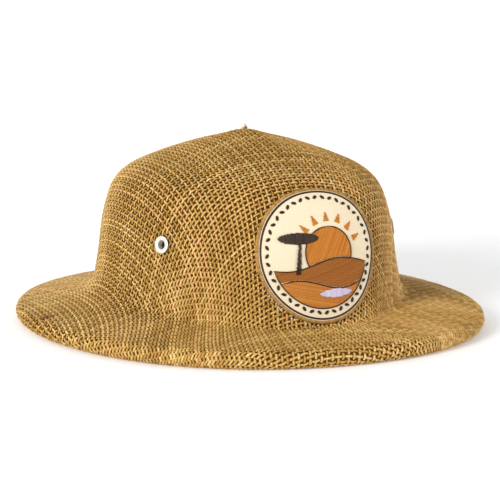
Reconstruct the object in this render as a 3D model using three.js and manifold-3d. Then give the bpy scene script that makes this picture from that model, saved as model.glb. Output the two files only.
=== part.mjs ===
// Sun hat pressed from open-weave straw, with a vent eyelet each side and a round patch in front.
// Millimetres, +Z up. The hat stands on its rolled rim, whose underside is the plane z = 0.
// The front faces -Y and the wearer's right is -X. Turns are radians from the front towards +X.

import * as THREE from 'three';
import { mergeVertices } from 'three/addons/utils/BufferGeometryUtils.js';
import Module from 'manifold-3d';

const wasm = await Module();
wasm.setup();

// Hat body sizes.
const HAT_HEIGHT = 114.6;
const CROWN_HALF_WIDTH = 89;
const CROWN_HALF_LENGTH = 101.5;
const OVAL_EXPONENT = 2.15;
const WALL = 2;
const HEADLINE_HEIGHT = { front: 12.4, side: 20.5, back: 15 };
const BRIM_WIDTH = { front: 47, side: 41, back: 42.5 };
const HEADLINE_FILLET = { front: 0.8, side: 8, back: 7 };
const ROLL_RADIUS = 5.5;
const REST_STRIP = 2;
const HEM_LAP = 16;
const HEM_CLEARANCE = 0.5;

// Crown sections from the peak down to the headline, where the crown meets the brim.
// reach is a share of the crown's radius, and rise is a share of its height above the headline.
const CROWN_SECTIONS = [
  { name: 'peak', reach: 0, rise: 1 },
  { name: 'peak round', reach: 0.06, rise: 0.992 },
  { name: 'dome top', reach: 0.15, rise: 0.968 },
  { name: 'dome', reach: 0.3, rise: 0.933 },
  { name: 'dome mid', reach: 0.45, rise: 0.889 },
  { name: 'dome low', reach: 0.6, rise: 0.836 },
  { name: 'shoulder start', reach: 0.75, rise: 0.768 },
  { name: 'shoulder', reach: 0.85, rise: 0.676 },
  { name: 'wall top', reach: 0.92, rise: 0.484 },
  { name: 'wall', reach: 0.96, rise: 0.219 },
  { name: 'headline', reach: 1, rise: 0 },
];

// Eyelet sizes.
const EYELET_TURN = THREE.MathUtils.degToRad(59);
const EYELET_RISE = 0.39;
const EYELET_FLANGE_RADIUS = 5;
const EYELET_BORE_RADIUS = 2.5;
const EYELET_METAL = 0.6;
const EYELET_ROLLED_RADIUS = 4.4;

// Patch sizes.
const PATCH_RADIUS = 38.8;
const PATCH_FOOT = 0.2;
const BORDER_WIDTH = 2.2;
const BORDER_HEIGHT = 1.3;
const RING_WIDTH = 1;
const TWILL_THICKNESS = 0.6;
const STITCH_THICKNESS = 0.5;

// Gap between pieces that touch on the real hat.
const GAP = 0.3;

// Facet counts.
const DIRECTIONS = 52;
const STEPS_PER_SECTION = 2;
const FILLET_STEPS = 3;
const BRIM_STEPS = 2;
const ROLL_STEPS = 7;
const HEM_STEPS = 4;
const EYELET_SIDES = 16;
const PATCH_SIDES = 32;
const PATCH_RINGS = 5;
const BORDER_SIDES = 42;
const BORDER_ARC_STEPS = 4;
const OVAL_SIDES = 24;
const HILL_STEPS = 14;

// Finishes, one for each kind of surface.
const STRAW = { color: 0xb48c4b, roughness: 0.75, metalness: 0 };
const WHITE_METAL = { color: 0xe8e6dc, roughness: 0.35, metalness: 0.6 };
const CREAM_TWILL = { color: 0xe2d4b8, roughness: 0.85, metalness: 0 };
const TAN_THREAD = { color: 0xc38741, roughness: 0.6, metalness: 0 };
const DARK_THREAD = { color: 0x3c230f, roughness: 0.6, metalness: 0 };
const AMBER_THREAD = { color: 0xcd7d19, roughness: 0.55, metalness: 0 };
const RUSSET_THREAD = { color: 0xa8601c, roughness: 0.55, metalness: 0 };
const LILAC_THREAD = { color: 0xcdbed7, roughness: 0.55, metalness: 0 };

// The origin lies under the middle of the hat's length, so the crown stands a little behind it.
const hat = new THREE.Group();
hat.position.y = (BRIM_WIDTH.front - BRIM_WIDTH.back) / 2;

function addPiece(name, geometry, finish) {
  geometry.deleteAttribute('normal');
  const faceted = geometry.index ? geometry.toNonIndexed() : geometry;
  faceted.computeVertexNormals();
  const piece = new THREE.Mesh(faceted, new THREE.MeshStandardMaterial(finish));
  piece.name = name;
  hat.add(piece);
}

// Rings of points joined into a closed skin. Each ring runs anticlockwise seen from outside the
// hat. The rings run outwards on the top and back inwards underneath, between two poles where
// poles are given, and otherwise back to the first ring.
function loft(rings, poles) {
  const sides = rings[0].length;
  const points = rings.flat();
  const faces = [];
  const ringPairs = poles ? rings.length - 1 : rings.length;
  for (let ring = 0; ring < ringPairs; ring += 1) {
    const upper = ring * sides;
    const lower = ((ring + 1) % rings.length) * sides;
    for (let side = 0; side < sides; side += 1) {
      const next = (side + 1) % sides;
      faces.push(upper + side, lower + side, lower + next);
      faces.push(upper + side, lower + next, upper + next);
    }
  }
  if (poles) {
    const top = points.push(poles.top) - 1;
    const bottom = points.push(poles.bottom) - 1;
    const last = (rings.length - 1) * sides;
    for (let side = 0; side < sides; side += 1) {
      const next = (side + 1) % sides;
      faces.push(top, side, next);
      faces.push(last + side, bottom, last + next);
    }
  }
  const geometry = new THREE.BufferGeometry().setFromPoints(points);
  geometry.setIndex(faces);
  return geometry;
}

function toSolid(geometry) {
  const plain = geometry.clone();
  plain.deleteAttribute('normal');
  plain.deleteAttribute('uv');
  const merged = mergeVertices(plain);
  return new wasm.Manifold(new wasm.Mesh({
    numProp: 3,
    vertProperties: new Float32Array(merged.attributes.position.array),
    triVerts: new Uint32Array(merged.index.array),
  }));
}

function toGeometry(solid) {
  const mesh = solid.getMesh();
  const geometry = new THREE.BufferGeometry();
  geometry.setAttribute('position', new THREE.BufferAttribute(mesh.vertProperties, 3));
  geometry.setIndex(new THREE.BufferAttribute(mesh.triVerts, 1));
  return geometry;
}

// Hat body: plan oval, crown curve and the sheet that runs from the peak to the hem.

function crownRadius(turn) {
  const along = Math.abs(Math.cos(turn)) / CROWN_HALF_LENGTH;
  const across = Math.abs(Math.sin(turn)) / CROWN_HALF_WIDTH;
  return (along ** OVAL_EXPONENT + across ** OVAL_EXPONENT) ** (-1 / OVAL_EXPONENT);
}

function blend(size, turn) {
  const end = Math.cos(turn) > 0 ? size.front : size.back;
  return size.side + (end - size.side) * Math.cos(turn) ** 2;
}

const crownCurve = new THREE.CatmullRomCurve3(
  CROWN_SECTIONS.map((section) => new THREE.Vector3(section.reach, section.rise, 0)),
  false,
  'centripetal',
);

// A point of the crown's half section in one direction, as radius and height.
function crownSection(turn, along) {
  const share = crownCurve.getPoint(along);
  const foot = blend(HEADLINE_HEIGHT, turn);
  return new THREE.Vector2(share.x * crownRadius(turn), foot + share.y * (HAT_HEIGHT - foot));
}

function place(section, turn) {
  return new THREE.Vector3(section.x * Math.sin(turn), -section.x * Math.cos(turn), section.y);
}

function crownPoint(turn, along) {
  return place(crownSection(turn, along), turn);
}

// The crown's outward normal, from two short chords of the surface.
function crownNormal(turn, along) {
  const step = 0.001;
  const sideways = crownPoint(turn + step, along).sub(crownPoint(turn - step, along));
  const downwards = crownPoint(turn, along + step).sub(crownPoint(turn, along - step));
  return downwards.cross(sideways).normalize();
}

// How far along the crown curve a share of the rise is reached, found by halving.
function alongAtRise(rise) {
  let above = 0;
  let below = 1;
  for (let halving = 0; halving < 30; halving += 1) {
    const middle = (above + below) / 2;
    if (crownCurve.getPoint(middle).y > rise) above = middle;
    else below = middle;
  }
  return above;
}

function roundedCorner(start, corner, end, steps) {
  const curve = new THREE.QuadraticBezierCurve(start, corner, end);
  return curve.getPoints(steps);
}

// The outside of the sheet in one direction, from beside the peak to the hem's free edge.
function sheetOutside(turn) {
  const corner = crownSection(turn, 1);
  const rollCentre = new THREE.Vector2(corner.x + blend(BRIM_WIDTH, turn), ROLL_RADIUS);
  const toCentre = rollCentre.clone().sub(corner);
  const slope = toCentre.angle() + Math.asin(ROLL_RADIUS / toCentre.length());
  const brimWay = new THREE.Vector2(Math.cos(slope), Math.sin(slope));
  const brimUp = new THREE.Vector2(-brimWay.y, brimWay.x);
  const brimEnd = rollCentre.clone().addScaledVector(brimUp, ROLL_RADIUS);

  const crownSteps = (CROWN_SECTIONS.length - 1) * STEPS_PER_SECTION;
  const lastStep = crownSection(turn, 1 - 1 / crownSteps);
  const fillet = Math.min(blend(HEADLINE_FILLET, turn), 0.9 * lastStep.distanceTo(corner));
  const wallEnd = lastStep.clone().sub(corner).setLength(fillet).add(corner);
  const outside = [];
  for (let step = 1; step < crownSteps; step += 1) {
    outside.push(crownSection(turn, step / crownSteps));
  }

  const filletEnd = corner.clone().addScaledVector(brimWay, fillet);
  outside.push(wallEnd);
  outside.push(...roundedCorner(wallEnd, corner, filletEnd, FILLET_STEPS).slice(1));
  for (let step = 1; step <= BRIM_STEPS; step += 1) {
    outside.push(filletEnd.clone().lerp(brimEnd, step / BRIM_STEPS));
  }

  const rollStart = brimUp.angle();
  for (let step = 1; step <= ROLL_STEPS; step += 1) {
    const angle = THREE.MathUtils.lerp(rollStart, -Math.PI / 2, step / ROLL_STEPS);
    const spoke = new THREE.Vector2(Math.cos(angle), Math.sin(angle));
    outside.push(rollCentre.clone().addScaledVector(spoke, ROLL_RADIUS));
  }

  const stripEnd = new THREE.Vector2(rollCentre.x - REST_STRIP, 0);
  const folded = (2 * WALL + HEM_CLEARANCE) / brimUp.y;
  const hemReach = rollCentre.x - HEM_LAP;
  const brimAbove = corner.y + Math.tan(slope) * (hemReach - corner.x);
  const hemEnd = new THREE.Vector2(hemReach, brimAbove - folded);
  const hemBend = new THREE.Vector2((stripEnd.x + hemEnd.x) / 2, 0);
  outside.push(...roundedCorner(stripEnd, hemBend, hemEnd, HEM_STEPS));
  return outside;
}

// The inside of the sheet, one wall inside each outside point, square to the sheet.
function sheetInside(outside, peak) {
  return outside.map((point, row) => {
    const before = row > 0 ? outside[row - 1] : peak;
    const after = outside[Math.min(row + 1, outside.length - 1)];
    const way = after.clone().sub(before).normalize();
    return new THREE.Vector2(point.x + way.y * WALL, point.y - way.x * WALL);
  });
}

function hatSheet() {
  const peak = new THREE.Vector2(0, HAT_HEIGHT);
  const columns = [];
  for (let direction = 0; direction < DIRECTIONS; direction += 1) {
    const turn = (2 * Math.PI * direction) / DIRECTIONS;
    const outside = sheetOutside(turn);
    const inside = sheetInside(outside, peak).reverse();
    columns.push([...outside, ...inside].map((section) => place(section, turn)));
  }
  const rings = columns[0].map((_, row) => columns.map((column) => column[row]));
  return loft(rings, {
    top: new THREE.Vector3(0, 0, HAT_HEIGHT),
    bottom: new THREE.Vector3(0, 0, HAT_HEIGHT - WALL),
  });
}

// Eyelets: a turned flange outside, a barrel through the wall and a rolled flange inside.

const eyeletBarrel = EYELET_BORE_RADIUS + EYELET_METAL;

// How far the straw's flat facets and its curve reach in under a flat flange.
const facetSag = CROWN_HALF_LENGTH * (1 - Math.cos(Math.PI / DIRECTIONS));
const flangeSag = EYELET_ROLLED_RADIUS ** 2 / (2 * CROWN_HALF_WIDTH);

function eyeletGeometry() {
  const wallInside = -WALL - facetSag - flangeSag - GAP;
  const profile = [
    [EYELET_BORE_RADIUS, wallInside - EYELET_METAL],
    [EYELET_ROLLED_RADIUS, wallInside - EYELET_METAL],
    [EYELET_ROLLED_RADIUS, wallInside],
    [eyeletBarrel, wallInside],
    [eyeletBarrel, GAP],
    [EYELET_FLANGE_RADIUS, GAP],
    [EYELET_FLANGE_RADIUS - EYELET_METAL / 4, GAP + EYELET_METAL / 2],
    [EYELET_FLANGE_RADIUS - EYELET_METAL, GAP + EYELET_METAL],
    [EYELET_BORE_RADIUS + EYELET_METAL, GAP + EYELET_METAL],
    [EYELET_BORE_RADIUS, GAP + EYELET_METAL / 3],
    [EYELET_BORE_RADIUS, wallInside - EYELET_METAL],
  ];
  const points = profile.map(([radius, height]) => new THREE.Vector2(radius, height));
  return new THREE.LatheGeometry(points, EYELET_SIDES);
}

// Stands a shape that was made round +Y on the crown, with its +Y along the outward normal.
function standOnCrown(geometry, turn) {
  const along = alongAtRise(EYELET_RISE);
  const normal = crownNormal(turn, along);
  const swing = new THREE.Quaternion().setFromUnitVectors(new THREE.Vector3(0, 1, 0), normal);
  geometry.applyQuaternion(swing);
  const seat = crownPoint(turn, along);
  geometry.translate(seat.x, seat.y, seat.z);
  return geometry;
}

// A hole one gap wider than the barrel, drilled well past both faces of the wall.
function eyeletHole(turn) {
  const depth = 6 * WALL;
  const drill = new THREE.CylinderGeometry(eyeletBarrel + GAP, eyeletBarrel + GAP, depth, EYELET_SIDES);
  return toSolid(standOnCrown(drill, turn));
}

// Patch: sizes on the crown's front, measured along the straw, u to the right and v upwards.

const FRONT = 0;
const MERIDIAN_STEPS = 200;

// Distance up the front of the crown from the headline, for even steps along the crown curve.
const frontMeridian = [{ along: 1, distance: 0 }];
for (let step = 1; step <= MERIDIAN_STEPS; step += 1) {
  const along = 1 - step / MERIDIAN_STEPS;
  const below = frontMeridian[step - 1];
  const rise = crownPoint(FRONT, along).distanceTo(crownPoint(FRONT, below.along));
  frontMeridian.push({ along, distance: below.distance + rise });
}

function alongAtDistance(distance) {
  const after = frontMeridian.findIndex((entry) => entry.distance > distance);
  const upper = frontMeridian[Math.max(after, 1)];
  const lower = frontMeridian[Math.max(after, 1) - 1];
  const share = (distance - lower.distance) / (upper.distance - lower.distance);
  return THREE.MathUtils.lerp(lower.along, upper.along, share);
}

// The turn reached by walking a distance sideways round the crown from the front.
function turnAcross(distance, along) {
  const strides = 12;
  let turn = FRONT;
  for (let stride = 0; stride < strides; stride += 1) {
    const step = 0.001;
    const speed = crownPoint(turn + step, along).distanceTo(crownPoint(turn, along)) / step;
    turn += distance / strides / speed;
  }
  return turn;
}

const patchCentre = HEADLINE_FILLET.front + PATCH_FOOT + PATCH_RADIUS;

function patchPoint(u, v, lift) {
  const along = alongAtDistance(patchCentre + v);
  const turn = turnAcross(u, along);
  return crownPoint(turn, along).addScaledVector(crownNormal(turn, along), lift);
}

function patchRing(radius, lift, sides) {
  const ring = [];
  for (let side = 0; side < sides; side += 1) {
    const angle = (2 * Math.PI * side) / sides;
    ring.push(patchPoint(radius * Math.cos(angle), radius * Math.sin(angle), lift));
  }
  return ring;
}

// A round sheet that follows the crown, from one lift above the straw to another.
function patchDisc(radius, low, high) {
  const top = [];
  const underside = [];
  for (let ring = 1; ring <= PATCH_RINGS; ring += 1) {
    const ringRadius = (radius * ring) / PATCH_RINGS;
    top.push(patchRing(ringRadius, high, PATCH_SIDES));
    underside.unshift(patchRing(ringRadius, low, PATCH_SIDES));
  }
  return loft([...top, ...underside], { top: patchPoint(0, 0, high), bottom: patchPoint(0, 0, low) });
}

const borderInner = PATCH_RADIUS - BORDER_WIDTH;
const ringOuter = borderInner - GAP;
const ringInner = ringOuter - RING_WIDTH;
const fieldRadius = ringInner - GAP;
const twillTop = GAP + TWILL_THICKNESS;

// The border's section is a low half oval, wound over the patch's raw edge.
function patchBorder() {
  const middle = (borderInner + PATCH_RADIUS) / 2;
  const rings = [];
  for (let step = 0; step <= BORDER_ARC_STEPS; step += 1) {
    const angle = Math.PI * (1 - step / BORDER_ARC_STEPS);
    const radius = middle + (BORDER_WIDTH / 2) * Math.cos(angle);
    rings.push(patchRing(radius, GAP + BORDER_HEIGHT * Math.sin(angle), BORDER_SIDES));
  }
  return loft(rings);
}

function patchLine() {
  const top = twillTop + STITCH_THICKNESS / 2;
  return loft([
    patchRing(ringInner, top, BORDER_SIDES),
    patchRing(ringOuter, top, BORDER_SIDES),
    patchRing(ringOuter, GAP, BORDER_SIDES),
    patchRing(ringInner, GAP, BORDER_SIDES),
  ]);
}

// Stitched motifs: a low sun over two hills, with a flat-topped tree and a pond.
// Their lengths are shares of the cream field's radius, and the centre is the patch's.
const MOTIF = {
  edge: 0.86,
  seam: 0.02,
  sun: { u: 0.12, v: 0.02, radius: 0.42 },
  rays: { count: 7, first: 0.12, last: 0.88, start: 0.5, end: 0.7, halfWidth: 0.06 },
  hillBack: { height: -0.16, swell: 0.09, waves: 1.1, shift: 0.6 },
  hillFront: { height: -0.48, swell: 0.08, waves: 1.3, shift: 3.4 },
  pond: { u: 0.2, v: -0.63, halfWidth: 0.3, halfHeight: 0.075 },
  trunk: { u: -0.44, foot: -0.3, top: 0.22, halfFoot: 0.05, halfTop: 0.028, lean: 0.06 },
  canopy: { u: -0.4, v: 0.27, halfWidth: 0.34, halfHeight: 0.1 },
};

const stitchLow = twillTop + GAP;
const stitchHigh = stitchLow + STITCH_THICKNESS;
const overLow = stitchHigh + GAP;
const overHigh = overLow + STITCH_THICKNESS;

// A bar through the patch, square to the front, with an outline given in shares of the field.
function motifBar(outline) {
  const corners = outline.map(([u, v]) => {
    const point = patchPoint(u * fieldRadius, v * fieldRadius, 0);
    return new THREE.Vector2(point.x, point.z);
  });
  const depth = 1.5 * CROWN_HALF_LENGTH;
  const bar = new THREE.ExtrudeGeometry(new THREE.Shape(corners), { depth, bevelEnabled: false });
  return toSolid(bar.rotateX(Math.PI / 2));
}

const stitchLayer = toSolid(patchDisc(MOTIF.edge * fieldRadius, stitchLow, stitchHigh));
const overLayer = toSolid(patchDisc(MOTIF.edge * fieldRadius, overLow, overHigh));

function ovalOutline({ u, v, halfWidth, halfHeight }) {
  const outline = [];
  for (let side = 0; side < OVAL_SIDES; side += 1) {
    const angle = (2 * Math.PI * side) / OVAL_SIDES;
    outline.push([u + halfWidth * Math.cos(angle), v + halfHeight * Math.sin(angle)]);
  }
  return outline;
}

// Everything under a rolling skyline, raised by a seam's width where one is given.
function hillOutline({ height, swell, waves, shift }, seam) {
  const outline = [[-1, -1], [1, -1]];
  for (let step = 0; step <= HILL_STEPS; step += 1) {
    const u = 1 - (2 * step) / HILL_STEPS;
    outline.push([u, height + seam + swell * Math.sin(waves * Math.PI * u + shift)]);
  }
  return outline;
}

function sunOutline() {
  const { u, v, radius } = MOTIF.sun;
  return ovalOutline({ u, v, halfWidth: radius, halfHeight: radius });
}

function rayOutline(ray) {
  const { count, first, last, start, end, halfWidth } = MOTIF.rays;
  const angle = Math.PI * THREE.MathUtils.lerp(first, last, ray / (count - 1));
  const out = [Math.cos(angle), Math.sin(angle)];
  const corner = (reach, side) => [
    MOTIF.sun.u + out[0] * reach - out[1] * side,
    MOTIF.sun.v + out[1] * reach + out[0] * side,
  ];
  return [corner(start, -halfWidth), corner(end, 0), corner(start, halfWidth)];
}

function trunkOutline() {
  const { u, foot, top, halfFoot, halfTop, lean } = MOTIF.trunk;
  return [[u - halfFoot, foot], [u + halfFoot, foot], [u + lean + halfTop, top], [u + lean - halfTop, top]];
}

const hillBackBar = motifBar(hillOutline(MOTIF.hillBack, 0));
const hillBackCut = motifBar(hillOutline(MOTIF.hillBack, MOTIF.seam));
const hillFrontBar = motifBar(hillOutline(MOTIF.hillFront, 0));
const hillFrontCut = motifBar(hillOutline(MOTIF.hillFront, MOTIF.seam));

// The pieces.

const body = toSolid(hatSheet()).subtract(eyeletHole(EYELET_TURN)).subtract(eyeletHole(-EYELET_TURN));
addPiece('hat_body', toGeometry(body), STRAW);

addPiece('eyelet_left', standOnCrown(eyeletGeometry(), EYELET_TURN), WHITE_METAL);
addPiece('eyelet_right', standOnCrown(eyeletGeometry(), -EYELET_TURN), WHITE_METAL);

addPiece('patch_ground', patchDisc(fieldRadius, GAP, twillTop), CREAM_TWILL);
addPiece('patch_ring', patchLine(), DARK_THREAD);
addPiece('patch_border', patchBorder(), TAN_THREAD);

const sun = stitchLayer.intersect(motifBar(sunOutline())).subtract(hillBackCut);
addPiece('patch_sun', toGeometry(sun), AMBER_THREAD);
for (let ray = 0; ray < MOTIF.rays.count; ray += 1) {
  const rayBar = motifBar(rayOutline(ray));
  addPiece(`sun_ray_${ray + 1}`, toGeometry(stitchLayer.intersect(rayBar)), AMBER_THREAD);
}

const hillBack = stitchLayer.intersect(hillBackBar).subtract(hillFrontCut);
addPiece('patch_hill_back', toGeometry(hillBack), RUSSET_THREAD);
addPiece('patch_hill_front', toGeometry(stitchLayer.intersect(hillFrontBar)), AMBER_THREAD);
addPiece('patch_pond', toGeometry(overLayer.intersect(motifBar(ovalOutline(MOTIF.pond)))), LILAC_THREAD);

const treeBar = motifBar(trunkOutline()).add(motifBar(ovalOutline(MOTIF.canopy)));
addPiece('patch_tree', toGeometry(overLayer.intersect(treeBar)), DARK_THREAD);

export default hat;
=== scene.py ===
# %% [markdown]
# # A straw sun hat, woven strand by strand
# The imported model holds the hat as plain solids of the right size. This lesson gives them their looks:
# the open straw weave, the stitched patch, the two vent eyelets, and the light of a small studio.
# All lengths below are millimetres until a mesh is made.

import bpy
import numpy as np
from mathutils import Matrix, Vector


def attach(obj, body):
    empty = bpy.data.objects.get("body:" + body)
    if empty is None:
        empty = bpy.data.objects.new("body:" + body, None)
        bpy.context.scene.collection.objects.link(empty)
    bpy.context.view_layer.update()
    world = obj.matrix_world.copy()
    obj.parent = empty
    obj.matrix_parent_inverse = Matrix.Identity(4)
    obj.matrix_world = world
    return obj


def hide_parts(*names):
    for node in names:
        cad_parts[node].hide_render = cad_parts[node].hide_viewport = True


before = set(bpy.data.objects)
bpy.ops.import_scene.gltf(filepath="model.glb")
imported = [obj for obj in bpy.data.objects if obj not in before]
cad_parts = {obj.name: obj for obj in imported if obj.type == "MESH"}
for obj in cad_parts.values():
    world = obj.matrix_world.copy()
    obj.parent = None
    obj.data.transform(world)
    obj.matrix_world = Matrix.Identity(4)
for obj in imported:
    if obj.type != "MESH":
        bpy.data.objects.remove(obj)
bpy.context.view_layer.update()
print("solids in the frame:", len(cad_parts))

# %% [markdown]
# ## The camera first
# The photograph looks at the hat from its front right, a little from above. A long lens, 1.16 m away,
# gives the same weak perspective. The camera is turned, not shifted, so that other views stay centred.

# %% Camera
CROWN_AXIS = Vector((0, 0.00225, 0))
AZIMUTH, ELEVATION, ROLL = np.radians((-26.63, 11.115, -0.24))
BACK = Vector((np.sin(AZIMUTH) * np.cos(ELEVATION), -np.cos(AZIMUTH) * np.cos(ELEVATION), np.sin(ELEVATION)))
SIDEWAYS = Vector((0, 0, 1)).cross(BACK).normalized()
UPWARDS = BACK.cross(SIDEWAYS)


def placed(name, data):
    """A new object in the scene."""
    thing = bpy.data.objects.new(name, data)
    bpy.context.scene.collection.objects.link(thing)
    return thing


def aim_camera(distance, lens, rise, across):
    """Stands the camera at the distance along BACK and turns it to a point above the crown's foot."""
    camera = placed("camera", bpy.data.cameras.new("camera"))
    camera.data.lens = lens
    camera.data.clip_end = 50
    camera.location = CROWN_AXIS + BACK * distance
    target = CROWN_AXIS + UPWARDS * rise + SIDEWAYS * across
    aim = (camera.location - target).to_track_quat("Z", "Y").to_matrix() @ Matrix.Rotation(ROLL, 3, "Z")
    camera.rotation_euler = aim.to_euler()
    bpy.context.scene.camera = camera
    return camera


camera = aim_camera(distance=1.16, lens=137.8, rise=0.0403, across=0.0028)
print("camera stands at", [round(value, 3) for value in camera.location])

# %% [markdown]
# ## The sheet that the hat is pressed from
# Seen from above the crown is an oval, a little squarer than an ellipse. In each direction the sheet has
# one section: dome, wall, headline, brim, rolled edge and the hem that is turned under. The sizes
# are those of the solid, so strands that follow this sheet lie inside the solid's wall.

# %% Sizes of the sheet
HAT_HEIGHT = 114.6
CROWN_HALF_WIDTH, CROWN_HALF_LENGTH, OVAL_EXPONENT = 89, 101.5, 2.15
WALL = 2
HEADLINE_HEIGHT = (12.4, 20.5, 15)  # front, side, back
BRIM_WIDTH = (47, 41, 42.5)
HEADLINE_FILLET = (0.8, 8, 7)
ROLL_RADIUS, REST_STRIP, HEM_LAP, HEM_CLEARANCE = 5.5, 2, 16, 0.5
CROWN_SECTIONS = np.array([
    (0, 1), (0.06, 0.992), (0.15, 0.968), (0.3, 0.933), (0.45, 0.889), (0.6, 0.836),
    (0.75, 0.768), (0.85, 0.676), (0.92, 0.484), (0.96, 0.219), (1, 0),
])
CROWN_Y = 2.25  # the crown's axis stands this far behind the frame's origin


def blend(size, turn):
    """Side size, moved to the front's or the back's by the cosine squared of the turn."""
    front, side, back = size
    end = np.where(np.cos(turn) > 0, front, back)
    return side + (end - side) * np.cos(turn) ** 2


def crown_radius(turn):
    """Superellipse in polar form: (|cos/L|^n + |sin/W|^n)^(-1/n)."""
    along = np.abs(np.cos(turn)) / CROWN_HALF_LENGTH
    across = np.abs(np.sin(turn)) / CROWN_HALF_WIDTH
    return (along**OVAL_EXPONENT + across**OVAL_EXPONENT) ** (-1 / OVAL_EXPONENT)


def crown_curve(along):
    """Centripetal Catmull-Rom curve through the crown's sections, for along from 0 at the peak to 1."""
    ends = CROWN_SECTIONS
    points = np.vstack([2 * ends[0] - ends[1], ends, 2 * ends[-1] - ends[-2]])
    spans = len(ends) - 1
    place = np.clip(np.asarray(along, float), 0, 1) * spans
    span = np.minimum(place.astype(int), spans - 1)
    w = (place - span)[..., None]
    p0, p1, p2, p3 = (points[span + k] for k in range(4))
    d0, d1, d2 = (
        np.linalg.norm(b - a, axis=-1, keepdims=True) ** 0.5 for a, b in ((p0, p1), (p1, p2), (p2, p3))
    )
    m1 = ((p1 - p0) / d0 - (p2 - p0) / (d0 + d1) + (p2 - p1) / d1) * d1
    m2 = ((p2 - p1) / d1 - (p3 - p1) / (d1 + d2) + (p3 - p2) / d2) * d1
    return p1 + m1 * w + (3 * (p2 - p1) - 2 * m1 - m2) * w**2 + (2 * (p1 - p2) + m1 + m2) * w**3


def crown_section(turn, along):
    """Radius and height: shares of the crown's radius and of its height above the headline."""
    share, foot = crown_curve(along), blend(HEADLINE_HEIGHT, turn)
    return np.stack([share[..., 0] * crown_radius(turn), foot + share[..., 1] * (HAT_HEIGHT - foot)], -1)


print("crown radius at the front and the side:", crown_radius(np.array([0, np.pi / 2])).round(1))

# %% [markdown]
# The section is worked out for 480 directions at once, then measured along its length, so that any point
# of the sheet can be found from two numbers: the turn from the front, and the distance from the peak.

# %% Sections in every direction
SMALLEST = 1e-12  # keeps a vector of no length from dividing by zero
LAST_SHARE = 0.05  # of the crown's curve, next to the headline, where the fillet may begin
CROWN_ROWS, FILLET_ROWS, BRIM_ROWS, ROLL_ROWS, HEM_ROWS = 161, 13, 41, 25, 17


def unit(vectors):
    return vectors / np.maximum(np.linalg.norm(vectors, axis=-1, keepdims=True), SMALLEST)


def full_circle(count):
    """Even angles round a circle, from 0."""
    return np.arange(count) * 2 * np.pi / count


def rounded(start, corner, end, steps):
    """Quadratic Bezier: (1-t)^2 start + 2t(1-t) corner + t^2 end."""
    t = np.linspace(0, 1, steps)[1:, None]
    return (1 - t) ** 2 * start[:, None] + 2 * t * (1 - t) * corner[:, None] + t**2 * end[:, None]


def outside_sections(turn):
    """Rows of radius and height from the peak to the hem's edge, one section for each turn."""
    corner = crown_section(turn, 1.0)
    centre = np.stack([corner[:, 0] + blend(BRIM_WIDTH, turn), np.full(len(turn), float(ROLL_RADIUS))], 1)
    reach = np.linalg.norm(centre - corner, axis=1)
    slope = np.arctan2(*(centre - corner).T[::-1]) + np.arcsin(ROLL_RADIUS / reach)
    way = np.stack([np.cos(slope), np.sin(slope)], 1)
    up = np.stack([-way[:, 1], way[:, 0]], 1)
    last = np.linalg.norm(crown_section(turn, 1 - LAST_SHARE) - corner, axis=1)
    fillet = np.minimum(blend(HEADLINE_FILLET, turn), 0.9 * last)
    crown_end = 1 - LAST_SHARE * fillet / last
    crown = crown_section(turn[:, None], crown_end[:, None] * np.linspace(0, 1, CROWN_ROWS))
    fillet_end = corner + way * fillet[:, None]
    brim_end = centre + up * ROLL_RADIUS
    brim = fillet_end[:, None] + (brim_end - fillet_end)[:, None] * np.linspace(0, 1, BRIM_ROWS)[1:, None]
    angle = np.arctan2(up[:, 1], up[:, 0])[:, None] * np.linspace(1, 0, ROLL_ROWS)[1:]
    angle = angle - np.pi / 2 * np.linspace(0, 1, ROLL_ROWS)[1:]
    roll = centre[:, None] + ROLL_RADIUS * np.stack([np.cos(angle), np.sin(angle)], -1)
    strip_end = np.stack([centre[:, 0] - REST_STRIP, np.zeros(len(turn))], 1)
    hem_x = centre[:, 0] - HEM_LAP
    hem_z = corner[:, 1] + np.tan(slope) * (hem_x - corner[:, 0]) - (2 * WALL + HEM_CLEARANCE) / up[:, 1]
    hem_end = np.stack([hem_x, hem_z], 1)
    bend = np.stack([(strip_end[:, 0] + hem_x) / 2, np.zeros(len(turn))], 1)
    return np.concatenate([
        crown, rounded(crown[:, -1], corner, fillet_end, FILLET_ROWS), brim, roll,
        strip_end[:, None], rounded(strip_end, bend, hem_end, HEM_ROWS),
    ], 1)


DIRECTIONS, PITCH = 480, 0.5
turns = full_circle(DIRECTIONS)
outside = outside_sections(turns)
ways = unit(np.gradient(outside, axis=1))
facing = np.stack([-ways[..., 1], ways[..., 0]], -1)
middle = outside - facing * WALL / 2
steps = np.linalg.norm(np.diff(middle, axis=1), axis=-1)
distances = np.concatenate([np.zeros((DIRECTIONS, 1)), np.cumsum(steps, 1)], 1)
full_length = distances[:, -1]
even = np.arange(0, full_length.max() + PITCH, PITCH)
columns = np.concatenate([middle, facing], -1)
table = np.stack([
    np.stack([np.interp(even, distances[k], columns[k, :, c]) for c in range(4)], -1) for k in range(DIRECTIONS)
])
print("length of the sheet's section: %.0f to %.0f mm" % (full_length.min(), full_length.max()))

# %% [markdown]
# ## Finding a point of the sheet
# The table is read between its entries, in both directions at once.

# %% Points of the sheet
CHORD = 0.001  # in radians round the crown, or a share of its curve down it


def turned(section, turn, axis_y=CROWN_Y):
    """A section's radius and height turned about the crown's axis: (r sin t, -r cos t, z)."""
    r, z = section[..., 0], section[..., 1]
    return np.stack([r * np.sin(turn), axis_y - r * np.cos(turn), z], -1)


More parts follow.
